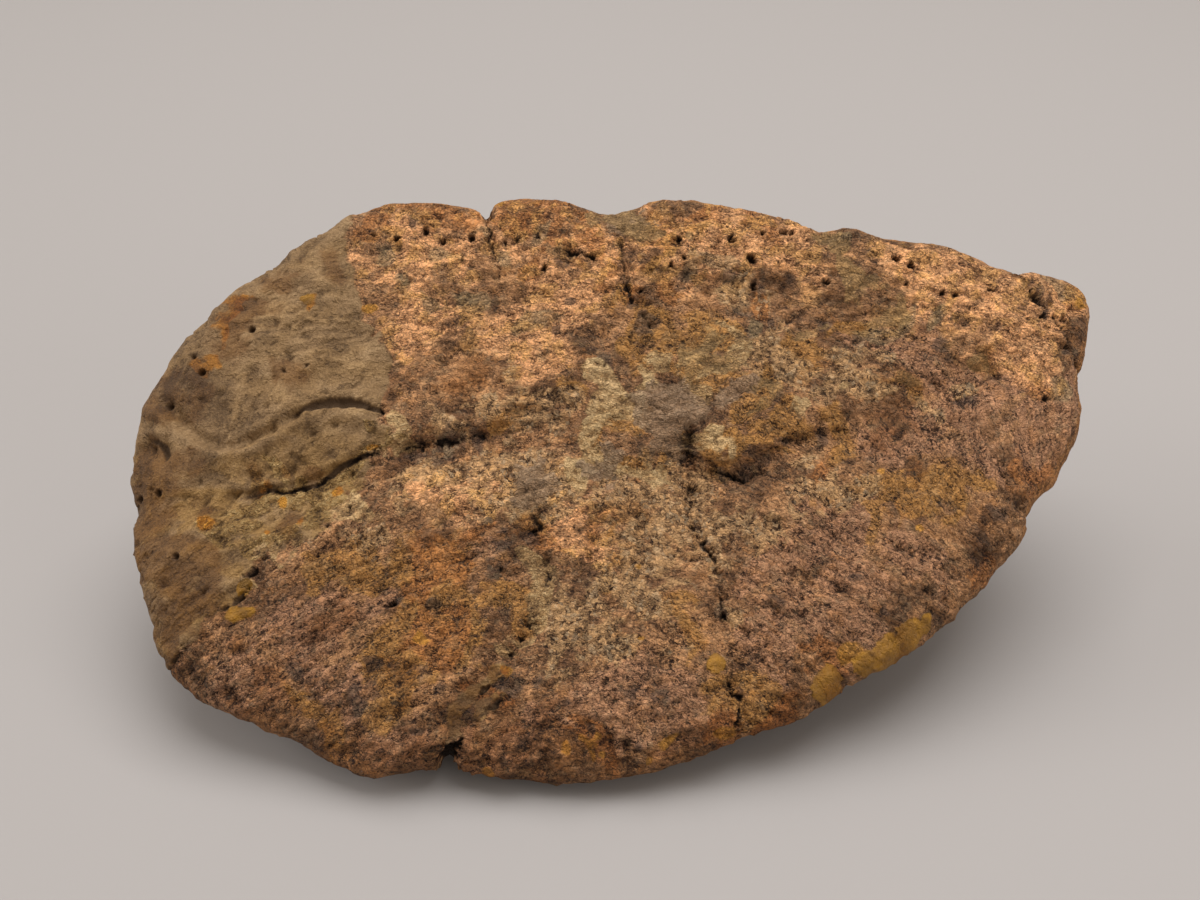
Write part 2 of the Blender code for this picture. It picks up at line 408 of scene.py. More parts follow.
def mark(mesh, name, values):
    """Keeps one number, or one row of three, for each point of a mesh."""
    kind, field = ("FLOAT_VECTOR", "vector") if np.ndim(values) == 2 else ("FLOAT", "value")
    mesh.attributes.new(name, kind, "POINT").data.foreach_set(field, np.ravel(values))


plate_mm = plate_places(skin)
flat_mm = plate_mm[:, :2]
facing = facing_out(skin)
base_side = np.clip((plate_mm[:, 2] - BASE_ENDS) / BASE_FADE, 0, 1)


def deepest(outlines):
    """How far inside the nearest of several outlines each point of the skin lies, in mm."""
    depths = [inside_depth(flat_mm, all_on_base(outline)) for outline in outlines]
    return np.where(base_side > 0.5, np.maximum(np.max(depths, axis=0), FAR_OUTSIDE), FAR_OUTSIDE)


glue = np.full(len(flat_mm), FAR_OUTSIDE)
for x, y, long_half, wide_half, turn in BEADS:
    cos, sin = math.cos(math.radians(turn)), math.sin(math.radians(turn))
    offset = (flat_mm - on_base(x, y)) @ np.array([[cos, -sin], [sin, cos]])
    glue = np.maximum(glue, (1 - np.hypot(*(offset / (long_half, wide_half)).T)) * wide_half)
swell = np.zeros(len(flat_mm))
for line, half_width, height in FOLDS:
    gap = gap_to_line(flat_mm, all_on_base(line))
    swell += height * np.exp(-((gap / half_width) ** 2))

mark(skin, "plate", plate_mm)
mark(skin, "putty", deepest(PUTTY.values()))
mark(skin, "wiped", deepest(WIPED.values()))
mark(skin, "glue", np.where(base_side > 0, glue, FAR_OUTSIDE))
mark(skin, "swell", swell * base_side)
mark(skin, "base_side", base_side)

rim = np.clip((RIM_FACING[0] - facing) / RIM_FADES[0], 0, 1)
rim = rim * np.clip((facing - RIM_FACING[1]) / RIM_FADES[1], 0, 1)
upward = flat_mm[:, 1] + RIND_SLANT * flat_mm[:, 0]
mark(skin, "rim", rim)
mark(skin, "rind", rim * np.clip((upward - RIND_STARTS) / RIND_FADE, 0, 1))

# ---- The weathered surface ----
# Ground water and frost have opened the bone into crumbs and fibres, which run out from its middle.
# The putty is smooth, with tool marks. Vessel holes and cracks go down into the bone.

# The fibres' noise is wound on drums of two sizes, and goes from one to the other over this reach, in mm.
FIBRE_CENTRE = Vector(on_base(620, 430))
FIBRE_DRUMS = (26, 75)
DRUM_CHANGE = (28, 60)

# Cracks are followed in these steps, and holes open to this share of their size.
CRACK_STEP = 0.4 * MM
HOLE_SHARE = 0.82

# Cracks and holes go this deep, and deeper by so many times their reach.
CRACK_DEPTH = 0.9 * MM
HOLE_DEPTH = 0.6 * MM
DEPTH_BY_REACH = 1.8

# Beads of glue stand up to about this high.
BEAD_HEIGHT = 0.7 * MM


class Wiring:
    """A node tree that is wired up step by step, from numbers and from the values of earlier steps."""

    def __init__(self, tree):
        self.tree = tree

    def step(self, kind, values=None, out=0, **settings):
        node = self.tree.nodes.new(kind)
        for name, setting in settings.items():
            setattr(node, name, setting)
        for socket, value in (values or {}).items():
            if isinstance(value, Value):
                self.link(value, node.inputs[socket])
            else:
                node.inputs[socket].default_value = value
        return Value(self, node.outputs[out])

    def link(self, value, socket):
        self.tree.links.new(value.socket, socket)

    def named(self, name, kind="FLOAT"):
        return self.step("GeometryNodeInputNamedAttribute", {"Name": name}, data_type=kind)


class Value:
    """What one step of a node tree gives. Sums, products and the methods here make further steps."""

    def __init__(self, wiring, socket):
        self.wiring = wiring
        self.socket = socket

    def math(self, operation, b=0.0, c=0.0):
        return self.wiring.step("ShaderNodeMath", {0: self, 1: b, 2: c}, operation=operation)

    def __add__(self, other):
        return self.math("ADD", other)

    __radd__ = __add__

    def __mul__(self, other):
        return self.math("MULTIPLY", other)

    def __sub__(self, other):
        return self.math("SUBTRACT", other)

    def __rsub__(self, other):
        return self.wiring.step("ShaderNodeMath", {0: other, 1: self, 2: 0.0}, operation="SUBTRACT")

    def __abs__(self):
        return self.math("ABSOLUTE")

    def most(self, other):
        return self.math("MAXIMUM", other)

    def vector(self, operation, b=(0, 0, 0), out=0):
        return self.wiring.step("ShaderNodeVectorMath", {0: self, 1: b}, out=out, operation=operation)

    def scaled(self, scale):
        return self.wiring.step("ShaderNodeVectorMath", {0: self, "Scale": scale}, operation="SCALE")

    def channels(self):
        parts = self.wiring.step("ShaderNodeSeparateXYZ", {0: self}).socket.node.outputs
        return [Value(self.wiring, part) for part in parts]

    def ramp(self, low, high, start=0.0, end=1.0):
        """Goes smoothly from start to end as the value goes from low to high."""
        values = {0: self, 1: low, 2: high, 3: start, 4: end}
        return self.wiring.step("ShaderNodeMapRange", values, interpolation_type="SMOOTHSTEP")

    def blend(self, a, b):
        """The first where the value is 0, the second where it is 1."""
        return self.wiring.step("ShaderNodeMix", {0: self, 2: a, 3: b}, data_type="FLOAT")

    def noise(self, size, detail=3.0, roughness=0.55, distortion=0.0, out=0):
        values = {"Vector": self, "Scale": 1 / size, "Detail": detail, "Roughness": roughness}
        return self.wiring.step("ShaderNodeTexNoise", {**values, "Distortion": distortion}, out=out)

    def cells(self, size):
        """Distance from the middle of the nearest cell, in cells of an even size."""
        return self.wiring.step("ShaderNodeTexVoronoi", {"Vector": self, "Scale": 1 / size})

    def lots(self):
        """Three random numbers for each of the cells that the value comes from."""
        return Value(self.wiring, self.socket.node.outputs["Color"]).channels()

    def swing(self, height):
        """A noise value made into a height that seldom goes past the given one, above or below 0."""
        return self.math("MULTIPLY_ADD", 6 * height, -3 * height)

    def strayed(self, size, reach, detail=3.0):
        """Places shifted about unevenly, in waves of a size, seldom further than the reach."""
        wave = self.noise(size, detail, 0.65, out=1).vector("SUBTRACT", (0.5, 0.5, 0.5))
        return self.vector("ADD", wave.scaled(6 * reach))

    def along_fibres(self, size, stretch, detail=3.0, roughness=0.6):
        """Noise drawn out along the fibres: wound on a small drum near their centre, a wide one outside."""
        flat = self.vector("SUBTRACT", (*FIBRE_CENTRE, 0)).vector("MULTIPLY", (1, 1, 0))
        reach = flat.vector("LENGTH", out=1)
        rise = self.channels()[2].math("MULTIPLY_ADD", 0.35, reach.math("DIVIDE", stretch))
        rise = self.wiring.step("ShaderNodeCombineXYZ", {2: rise})
        layers = []
        for drum in FIBRE_DRUMS:
            wound = flat.vector("NORMALIZE").scaled(drum).vector("ADD", rise)
            layers.append(wound.noise(size, detail, roughness))
        return reach.ramp(*DRUM_CHANGE).blend(*layers)


def gap_to_drawing(sheet, source, target, share):
    """How far outside the nearest drawn mark a place is, and that mark's own reach, in metres."""
    wiring = source.wiring
    drawn = wiring.step("GeometryNodeObjectInfo", {"Object": sheet}, out="Geometry")
    if target == "EDGES":
        values = {"Curve": wiring.step("GeometryNodeMeshToCurve", {"Mesh": drawn}), "Length": CRACK_STEP}
        curve = wiring.step("GeometryNodeResampleCurve", values, mode="LENGTH")
        drawn = wiring.step("GeometryNodeCurveToMesh", {"Curve": curve})
    values = {0: drawn, "Source Position": source}
    distance = wiring.step("GeometryNodeProximity", values, out="Distance", target_element=target)
    nearest = wiring.step("GeometryNodeSampleNearest", {"Geometry": drawn, "Sample Position": source})
    sample = {"Geometry": drawn, "Index": nearest}
    reach, whole = (
        wiring.step("GeometryNodeSampleIndex", {**sample, "Value": wiring.named(name)})
        for name in ("reach", "whole")
    )
    return distance - reach * whole.blend(share, 1.0), reach


def weathered_tree():
    """The tree that weathers a bone skin, with its depths and heights as inputs."""
    tree = bpy.data.node_groups.new("weathered bone", "GeometryNodeTree")
    sockets = {"Geometry": "Geometry", "Crack drawing": "Object", "Hole drawing": "Object"}
    for name in (
        "Lump height", "Crumb height", "Fibre height", "Grain height", "Pit depth", "Putty thickness",
        "Tool mark height", "Crack valley", "Vessel mark depth",
    ):
        sockets[name] = "Float"
    for name, kind in {**sockets, "Finish": "Material"}.items():
        tree.interface.new_socket(name, in_out="INPUT", socket_type="NodeSocket" + kind)
    tree.interface.new_socket("Geometry", in_out="OUTPUT", socket_type="NodeSocketGeometry")
    wiring = Wiring(tree)
    given = {socket.name: Value(wiring, socket) for socket in tree.nodes.new("NodeGroupInput").outputs}

    # Where the putty lies, and where it or the bone is bare of a smooth coat.
    plate = wiring.named("plate", "FLOAT_VECTOR")
    along, up, out_of_base = plate.channels()
    putty = wiring.named("putty") + (plate.noise(4, 4, 0.6).swing(1.4) + wiring.named("crust") * -3.0)
    covered = putty.ramp(-0.6, 0.6)
    bare = 1.0 - covered * (1.0 - wiring.named("crust").ramp(0.3, 0.8))
    glue = wiring.named("glue") + plate.noise(2.6, 3).swing(0.5)
    loose = plate.strayed(2.2, 0.7, 4)
    lean = along * up.ramp(35, -10, -0.0012, -0.0045)
    drawn = wiring.step("ShaderNodeVectorRotate", {"Vector": plate, "Angle": 0.1 - lean})
    drawn = drawn.vector("MULTIPLY", (0.55, 1.15, 1.0))

    # Cracks, with a shallow valley along each, and vessel holes.
    wander = loose.vector("SUBTRACT", plate).scaled(covered.blend(1.0 * MM, 0.3 * MM))
    source = plate.vector("MULTIPLY", (MM, MM, 0)).vector("ADD", wander.vector("MULTIPLY", (1, 1, 0)))
    broken = plate.noise(4.5, 3).ramp(0.42, 0.58, -0.5, 1.5)
    crack_gap, crack_reach = gap_to_drawing(given["Crack drawing"], source, "EDGES", broken)
    hole_gap, hole_reach = gap_to_drawing(given["Hole drawing"], source, "POINTS", HOLE_SHARE)
    crack_depth = crack_reach.math("MULTIPLY_ADD", DEPTH_BY_REACH, CRACK_DEPTH)
    crack_depth = crack_gap.ramp(0.3 * MM, -0.3 * MM) * crack_depth
    valley = crack_gap.ramp(1.8 * MM, 0.2 * MM) * given["Crack valley"] * bare
    crack_depth = (crack_depth * bare.blend(0.6, 1.0) + valley) * out_of_base.ramp(-11, -7)
    hole_depth = hole_reach.math("MULTIPLY_ADD", DEPTH_BY_REACH, HOLE_DEPTH)
    hole_depth = hole_gap.ramp(0.3 * MM, -0.35 * MM) * hole_depth
    hole_depth = hole_depth * out_of_base.ramp(-6, -3)
    sunk = crack_depth.most(hole_depth)

    # The bone's own roughness, which is calmer under putty and glue and along the worn rim.
    lumps = plate.noise(11, 3, 0.5).swing(1) * given["Lump height"]
    patchy = plate.noise(16, 3).ramp(0.40, 0.6, 0.55, 1.1)
    crumbs = 0.5 - drawn.strayed(3, 0.8).cells(2.9)
    chunks = 0.5 - drawn.strayed(6, 1.6).cells(6.2)
    worn = wiring.named("pinkish") + wiring.named("ochre") + wiring.named("manganese")
    rough = (worn + wiring.named("salmon") * -0.8).ramp(0.0, 1.0, 0.9, 1.35)
    crumbs = (crumbs + chunks) * given["Crumb height"] * patchy * rough
    fibres = plate.along_fibres(2.4, 3.0).swing(1) * given["Fibre height"]
    grain = plate.noise(1.8, 3, 0.7).swing(1) * given["Grain height"]
    pits = loose.cells(4.2)
    pits = (pits - pits.lots()[0].ramp(0.45, 1.0, -0.2, 0.3)).ramp(0.08, -0.12, 0, -1) * given["Pit depth"]
    calm = bare.blend(0.12, 1.0) * (1.0 - wiring.named("rind") * 0.6)
    calm = calm * (1.0 - wiring.named("rim") * 0.68) * glue.ramp(-0.5, 0.5, 1.0, 0.15)
    vessels = plate.strayed(7, 1.5).cells(9.5).ramp(0.20, 0.06, 0, -1.8)
    grooves = abs(plate.strayed(8, 2).noise(20, 2, 0.5).swing(1))
    vessels = (vessels + grooves.ramp(0.0, 0.12, -1.1, 0)) * (1.0 - wiring.named("base_side"))
    relief = (crumbs + fibres + grain + pits) * calm + vessels * given["Vessel mark depth"]

    # Tool marks in the putty.
    dents = drawn.strayed(9, 1.5).noise(5.5, 3, 0.55).swing(1)
    creases = abs(drawn.strayed(6, 1.4).noise(8, 2, 0.5).swing(1))
    pocks = plate.strayed(3, 0.5).noise(3.2, 2, 0.5).ramp(0.40, 0.30, 0, -1.1)
    marks = dents * 0.55 + creases.ramp(0.0, 0.20, -0.75, 0) + pocks
    marks = marks * given["Tool mark height"] * covered

    bead = glue.most(0.0).math("SQRT") * BEAD_HEIGHT
    lift = covered * given["Putty thickness"]
    height = lumps + relief + marks + lift + wiring.named("swell") * MM + bead - sunk

    # What the finish reads again.
    kept_numbers = {
        "crack_mm": crack_gap * (1 / MM), "hole_mm": hole_gap * (1 / MM), "putty_mm": putty, "glue_mm": glue,
        "relief_mm": (relief + marks - sunk) * (1 / MM), "rough": rough,
    }
    kept_places = {
        "drawn": drawn, "broad": plate.noise(15, 4, 0.6, out=1), "spread": plate.noise(5, 3, 0.68, out=1),
        "smear": plate.vector("MULTIPLY", (0.6, 1.2, 1)).noise(9, 4, 0.6, 0.6, out=1),
    }
    shaped = given["Geometry"]
    for name, value in {**kept_numbers, **kept_places}.items():
        kind = "FLOAT_VECTOR" if name in kept_places else "FLOAT"
        values = {"Geometry": shaped, "Name": name, "Value": value}
        shaped = wiring.step("GeometryNodeStoreNamedAttribute", values, data_type=kind)
    offset = wiring.step("GeometryNodeInputNormal").scaled(height)
    shaped = wiring.step("GeometryNodeSetPosition", {"Geometry": shaped, "Offset": offset})
    shaped = wiring.step("GeometryNodeRealizeInstances", {"Geometry": shaped})
    shaped = wiring.step("GeometryNodeSetMaterial", {"Geometry": shaped, "Material": given["Finish"]})
    wiring.link(shaped, tree.nodes.new("NodeGroupOutput").inputs[0])
    return tree


def set_inputs(modifier, sizes):
    """Gives a nodes modifier its inputs by the names of the tree's sockets."""
    for item in modifier.node_group.interface.items_tree:
        if item.in_out == "INPUT" and item.name in sizes:
            modifier[item.identifier] = sizes[item.name]


# ---- Stains and finish ----
# Minerals from the ground have coloured the bone in patches: salmon and rust from iron, ochre, sandy
# lime, and black manganese, whose dabs also paint shade along valleys and under ledges. Bone is dull and
# gritty, putty is smoother, and glue has a dull shine.

# Each stain is (x, y, radius in mm).
STAINS = {
    "salmon": [
        (400, 235, 8), (440, 262, 10), (480, 232, 9), (540, 240, 10), (560, 290, 11), (600, 262, 8),
        (505, 335, 10), (430, 315, 10), (560, 340, 8), (672, 232, 12), (720, 240, 12), (765, 240, 11),
        (410, 350, 8), (800, 258, 8), (905, 262, 11), (940, 275, 12), (985, 295, 13), (1030, 335, 10),
        (930, 300, 10), (1008, 372, 9), (1060, 300, 8), (560, 505, 6), (590, 540, 6), (460, 490, 7),
        (380, 260, 8),
    ],
    "pinkish": [
        (1060, 385, 6), (1058, 420, 6), (1045, 455, 6), (1040, 480, 5), (300, 612, 8), (322, 642, 8),
        (280, 600, 5), (350, 602, 6), (250, 680, 9), (400, 742, 9), (520, 742, 9), (560, 722, 9),
        (620, 690, 10), (680, 682, 9), (800, 622, 11), (860, 582, 9), (780, 562, 9), (850, 640, 8),
        (980, 455, 8), (1018, 343, 8), (1040, 402, 8), (990, 402, 8), (902, 340, 7), (940, 362, 8),
        (842, 512, 9), (820, 545, 9), (920, 560, 8), (220, 690, 7), (460, 760, 7), (880, 330, 6),
        (770, 660, 9), (700, 720, 8), (960, 420, 9), (900, 440, 8), (350, 700, 8), (590, 500, 5),
        (500, 540, 5),
    ],
    "sandy": [
        (560, 622, 9), (590, 642, 8), (640, 560, 11), (700, 530, 10), (662, 600, 9), (620, 500, 10),
        (680, 500, 9), (430, 475, 8), (480, 470, 9), (520, 472, 8), (560, 480, 7), (850, 478, 6),
        (830, 490, 6), (740, 620, 5), (890, 353, 4), (923, 409, 4), (938, 416, 3), (959, 389, 3),
        (780, 340, 7), (740, 350, 6), (800, 370, 7), (850, 385, 6), (540, 420, 6), (480, 405, 5),
        (550, 660, 6), (600, 600, 7), (760, 520, 7), (440, 430, 5), (520, 390, 6), (600, 560, 6),
        (820, 400, 6), (370, 530, 6), (800, 463, 4), (762, 300, 4), (730, 290, 4),
    ],
    "ochre": [
        (614, 410, 6), (600, 432, 5), (612, 452, 6), (660, 470, 6), (701, 333, 6), (714, 379, 5),
        (692, 352, 6), (719, 448, 9), (748, 446, 8), (420, 622, 10), (452, 600, 8), (400, 650, 9),
        (330, 731, 6), (455, 560, 7), (380, 690, 6), (560, 392, 4), (880, 490, 8), (930, 500, 7),
        (860, 520, 6), (750, 400, 5), (780, 422, 5), (470, 640, 7), (620, 300, 5), (660, 250, 5),
        (300, 700, 5), (610, 575, 4), (690, 620, 6), (500, 600, 6), (820, 350, 7), (870, 320, 6),
        (760, 370, 6), (900, 390, 5), (840, 440, 6), (360, 560, 6), (740, 700, 7), (960, 480, 7),
        (500, 420, 6), (660, 330, 6), (330, 570, 6), (410, 560, 7), (640, 350, 5),
    ],
    "rust": [
        (520, 214, 7), (548, 222, 7), (590, 214, 5), (500, 216, 5), (655, 213, 5), (645, 243, 5),
        (590, 285, 4), (640, 300, 5), (757, 303, 4), (680, 285, 4), (446, 560, 8), (420, 590, 7),
        (480, 520, 5), (560, 540, 4), (1030, 470, 7), (985, 575, 5), (440, 640, 7), (400, 205, 7),
        (440, 210, 7), (465, 212, 6), (725, 740, 6), (835, 655, 5), (770, 715, 5), (365, 310, 2),
        (560, 245, 5), (380, 215, 6), (535, 205, 8), (700, 215, 5), (760, 222, 5), (590, 240, 4),
        (820, 470, 4), (1070, 290, 5), (610, 262, 4), (600, 750, 7), (480, 690, 4), (530, 265, 4),
    ],
    "greenish": [
        (376, 250, 3), (402, 272, 3.5), (482, 235, 2.5), (503, 256, 2.5), (540, 236, 3), (560, 252, 3),
        (440, 262, 3), (690, 238, 2), (720, 262, 3), (430, 300, 3), (470, 300, 3), (1052, 288, 3.5),
        (840, 240, 3), (700, 262, 3), (545, 325, 5), (745, 325, 4), (895, 322, 5), (945, 326, 5),
        (1045, 374, 5),
    ],
    # Some of these dabs lie along valleys, crevices and under the ochre lump as painted shade.
    "manganese": [
        (602, 366, 3.2), (589, 346, 2.2), (510, 545, 3.2), (496, 569, 2.2), (522, 753, 2.2),
        (533, 680, 1.7), (640, 693, 3), (664, 702, 2), (573, 701, 1.8), (438, 606, 1.8), (392, 604, 1.8),
        (416, 730, 2), (985, 534, 4), (986, 552, 4), (843, 680, 1.8), (937, 623, 2.6), (884, 614, 2.2),
        (777, 601, 2.2), (856, 583, 2), (722, 277, 1.9), (760, 290, 2.0), (792, 280, 1.7), (772, 320, 2.0),
        (830, 325, 2.0), (870, 342, 2.0), (740, 308, 2.0), (900, 430, 2), (490, 302, 2.2), (566, 300, 1.5),
        (560, 330, 1.6), (962, 402, 3), (950, 350, 2.5), (748, 476, 1.8), (764, 469, 1.8), (722, 472, 1.8),
        (786, 442, 1.4), (816, 436, 1.8), (686, 466, 1.8), (688, 432, 1.5), (606, 364, 2.0), (440, 447, 4),
        (414, 449, 4), (468, 440, 3.4), (692, 455, 2.6), (700, 545, 1.8), (723, 616, 2), (1034, 297, 2),
        (1046, 315, 2), (1072, 355, 2.4), (410, 228, 2), (560, 262, 2), (640, 310, 3.4), (650, 325, 3),
        (355, 705, 3), (380, 672, 3), (300, 665, 2.5), (440, 690, 2.5), (1000, 520, 3), (690, 275, 2.5),
        (592, 731, 1.6), (640, 738, 1.8), (505, 762, 1.5), (540, 540, 2.6), (500, 680, 3), (455, 720, 3),
    ],
    "crust": [
        (245, 508, 4), (270, 500, 5), (300, 496, 5), (330, 487, 5), (352, 474, 4), (368, 456, 4),
        (388, 440, 4.5), (340, 508, 5), (310, 528, 5), (280, 538, 5), (256, 548, 4), (225, 528, 5),
        (212, 520, 4), (366, 425, 2.5), (540, 567, 4), (541, 582, 4), (533, 598, 4), (526, 614, 3.4),
        (519, 632, 2.6), (510, 648, 2), (395, 415, 3), (250, 480, 3), (280, 470, 3), (246, 585, 2),
        (600, 380, 4), (614, 396, 5), (604, 416, 5), (598, 440, 5), (606, 458, 5), (634, 470, 4),
        (656, 478, 4), (662, 360, 4), (580, 470, 4), (722, 346, 4), (690, 350, 4), (640, 378, 4),
        (700, 440, 4), (730, 450, 4), (716, 430, 4), (586, 378, 3), (615, 392, 5), (590, 402, 5),
        (595, 422, 4), (704, 384, 3.4), (714, 372, 3.4), (692, 453, 1.6), (655, 470, 2.6), (846, 388, 1.5),
        (800, 410, 3),
    ],
    "olive": [
        (832, 236, 4), (845, 256, 4), (852, 280, 4), (886, 302, 3.5), (905, 378, 3.4), (978, 356, 3),
        (614, 222, 5), (640, 228, 4), (690, 345, 4), (712, 365, 4), (755, 385, 5), (820, 330, 4),
    ],
    # The dabs along the bottom rim, at the lower left and under the left groove's ledge are painted shade;
    # the rest are damp stains.
    "damp_and_shade": [
        (182, 560, 9), (180, 620, 10), (150, 520, 8), (150, 450, 6), (205, 592, 6), (170, 480, 7),
        (250, 720, 8), (330, 750, 9), (420, 765, 9), (520, 772, 9), (620, 765, 9), (700, 748, 9),
        (780, 712, 7), (840, 690, 5), (270, 700, 6), (170, 400, 6), (560, 760, 9), (180, 670, 6),
        (140, 560, 7), (480, 762, 9), (370, 755, 8), (490, 302, 3), (460, 384, 4), (520, 402, 4),
        (1032, 384, 4), (622, 522, 6), (556, 706, 6), (500, 736, 6), (900, 645, 5), (302, 520, 5),
        (240, 312, 5), (252, 474, 2), (284, 474, 2), (314, 467, 3), (250, 488, 2.5), (210, 508, 3),
        (488, 704, 5), (455, 724, 5), (470, 692, 4), (495, 668, 3), (285, 275, 5), (338, 276, 4),
        (244, 322, 8), (290, 372, 4), (895, 425, 5), (920, 470, 5), (545, 525, 5), (595, 525, 4),
        (395, 676, 5), (980, 358, 4), (330, 622, 5), (244, 642, 3), (985, 545, 5), (905, 378, 4),
        (150, 470, 6),
    ],
    # Two of these dabs, on the ochre lump's face, are painted light; the rest are bleached patches.
    "bleached_and_lit": [
        (486, 424, 8), (500, 414, 6), (276, 492, 6), (610, 400, 7), (602, 438, 6), (656, 402, 6),
        (720, 440, 5), (716, 426, 3), (800, 350, 8), (852, 332, 6), (930, 412, 5), (852, 482, 6),
        (700, 700, 6), (862, 420, 6), (640, 370, 6), (470, 215, 4), (590, 232, 5), (440, 475, 6),
        (350, 490, 4), (245, 587, 2), (878, 562, 6), (640, 560, 6), (300, 440, 4), (800, 400, 5),
        (784, 460, 4), (808, 458, 4), (738, 452, 5), (758, 446, 4), (740, 292, 5), (780, 304, 5),
        (716, 302, 4), (850, 300, 4), (495, 275, 6), (445, 275, 4), (645, 275, 6), (790, 275, 4),
        (842, 272, 5), (895, 275, 7), (640, 325, 6), (395, 375, 6), (445, 378, 7), (495, 378, 7),
        (590, 378, 6), (440, 428, 6), (492, 425, 8), (595, 425, 8), (745, 425, 6), (990, 425, 6),
        (1042, 430, 5), (592, 475, 6), (648, 478, 6), (990, 480, 6), (445, 525, 8), (395, 525, 5),
        (945, 525, 7), (990, 530, 5), (490, 575, 6), (695, 578, 7), (697, 625, 7),
    ],
    "orange": [
        (233, 308, 4), (214, 356, 3), (196, 369, 3), (205, 364, 2), (585, 751, 2.6), (580, 744, 1.7),
        (633, 642, 1.7), (228, 322, 4), (596, 738, 1.6), (724, 734, 2.6), (670, 736, 2.0), (424, 642, 1.6),
        (366, 310, 2.0), (240, 300, 4), (312, 303, 2), (880, 470, 1.2), (925, 530, 1.2), (600, 755, 1),
        (266, 532, 0.8), (212, 521, 2.6), (253, 494, 2.0), (262, 484, 2.0), (280, 506, 2.2),
        (310, 520, 2.0), (340, 492, 1.5), (370, 450, 1.6), (563, 754, 1.6), (492, 773, 1.8),
        (652, 756, 1.7), (506, 667, 1.5), (500, 205, 2), (850, 652, 3), (900, 650, 3), (830, 690, 3),
        (640, 560, 1), (1075, 300, 2),
    ],
}
BONE_SHADES = ((0.13, 0.062, 0.027), (0.33, 0.165, 0.072))

# Each stain of the bone has its colour, its strength, and which of three slow noises breaks its edge.
STAIN_COLOURS = {
    "pinkish": ((0.30, 0.150, 0.078), 0.85, 2),
    "salmon": ((0.56, 0.275, 0.120), 0.95, 0),
    "ochre": ((0.30, 0.143, 0.037), 0.80, 2),
    "sandy": ((0.35, 0.205, 0.092), 0.75, 1),
    "rust": ((0.30, 0.115, 0.032), 0.75, 1),
    "greenish": ((0.17, 0.135, 0.070), 0.55, 0),
    "manganese": ((0.070, 0.042, 0.029), 0.70, 1),
}
RUSTY_CRUMB = (0.27, 0.112, 0.030)
GREENISH_CRUMB = (0.17, 0.120, 0.065)
LIME_GRAIN = (0.56, 0.39, 0.22)
GOLD = (0.50, 0.260, 0.075)
RIND = (0.30, 0.135, 0.045)
OLIVE = (0.33, 0.20, 0.078)
ORANGE = (0.46, 0.215, 0.030)
CRACK_SHADE = (0.06, 0.032, 0.016)
HOLLOW_SHADE = (0.028, 0.015, 0.008)
PUTTY_HOLLOW_SHADE = (0.085, 0.048, 0.022)

# These are multiplied with the colour under them.
DAMP_AND_SHADE = (0.70, 0.62, 0.51)
PUTTY_DAMP_AND_SHADE = (0.64, 0.53, 0.39)
PUTTY_YELLOW = (1.08, 1.0, 0.70)
PUTTY_ORANGE = (1.45, 0.92, 0.08)
TONES = [(0.0, (0.10, 0.07, 0.05)), (0.28, (0.45, 0.40, 0.36)), (0.50, (1, 1, 1)), (0.85, (1.9, 1.9, 1.85))]
OLIVE_TONES = [(0.15, (0.45, 0.45, 0.45)), (0.5, (1, 1, 1)), (0.85, (1.7, 1.65, 1.6))]

# These run from shadow to light.
PUTTY_SHADES = [(0.2, (0.085, 0.046, 0.017)), (0.5, (0.200, 0.118, 0.050)), (0.8, (0.33, 0.210, 0.100))]
FILM_SHADES = [(0.2, (0.11, 0.063, 0.033)), (0.5, (0.252, 0.152, 0.080)), (0.8, (0.39, 0.26, 0.155))]
CRUST_SHADES = [(0.2, (0.09, 0.045, 0.014)), (0.5, (0.36, 0.205, 0.062)), (0.8, (0.64, 0.42, 0.17))]
CREAM_SHADES = [(0.2, (0.11, 0.062, 0.028)), (0.5, (0.44, 0.265, 0.108)), (0.8, (0.76, 0.52, 0.25))]
GLUE_SHADES = [(0.3, (0.14, 0.062, 0.005)), (0.65, (0.32, 0.150, 0.005))]

# Dabs stray from their places, small ones less than those of this radius in mm.
STAIN_SEED = 11
WIDE_DAB = 6
KEEL_PATCH_SIZE = 24

noise.seed_set(STAIN_SEED)


def wavering(flat, size, reach):
    """Places shifted about unevenly, seldom by more than the reach, in waves of a size."""
    shift = [noise.noise_vector(Vector((x / size, y / size, reach)))[:2] for x, y in flat]
    return flat + np.array(shift) * reach * 2


stray_mm = wavering(wavering(flat_mm, 13, 5), 4.5, 2)


def dab_field(dabs):
    """How strongly a stain lies at each point: 1 in the middle of a dab, fading away past its radius."""
    field = np.zeros(len(flat_mm))
    for x, y, radius in dabs:
        straying = min(radius / WIDE_DAB, 1)
        gap = np.hypot(*(flat_mm + (stray_mm - flat_mm) * straying - on_base(x, y)).T)
        field = np.maximum(field, np.exp(-((gap / radius) ** 2)))
    return field * base_side


def keel_field(number):
    """Wide uneven patches of a stain on the keel side."""
    spots = [(x / KEEL_PATCH_SIZE, y / KEEL_PATCH_SIZE, number * 7) for x, y in flat_mm]
    patches = np.array([noise.fractal(Vector(spot), 0.8, 2.1, 3) for spot in spots])
    return np.clip(patches * 1.2 + 0.15, 0, 0.9) * (1 - base_side)


for number, (stain, dabs) in enumerate(STAINS.items()):
    mark(skin, stain, dab_field(dabs) + (keel_field(number) if stain in STAIN_COLOURS else 0))


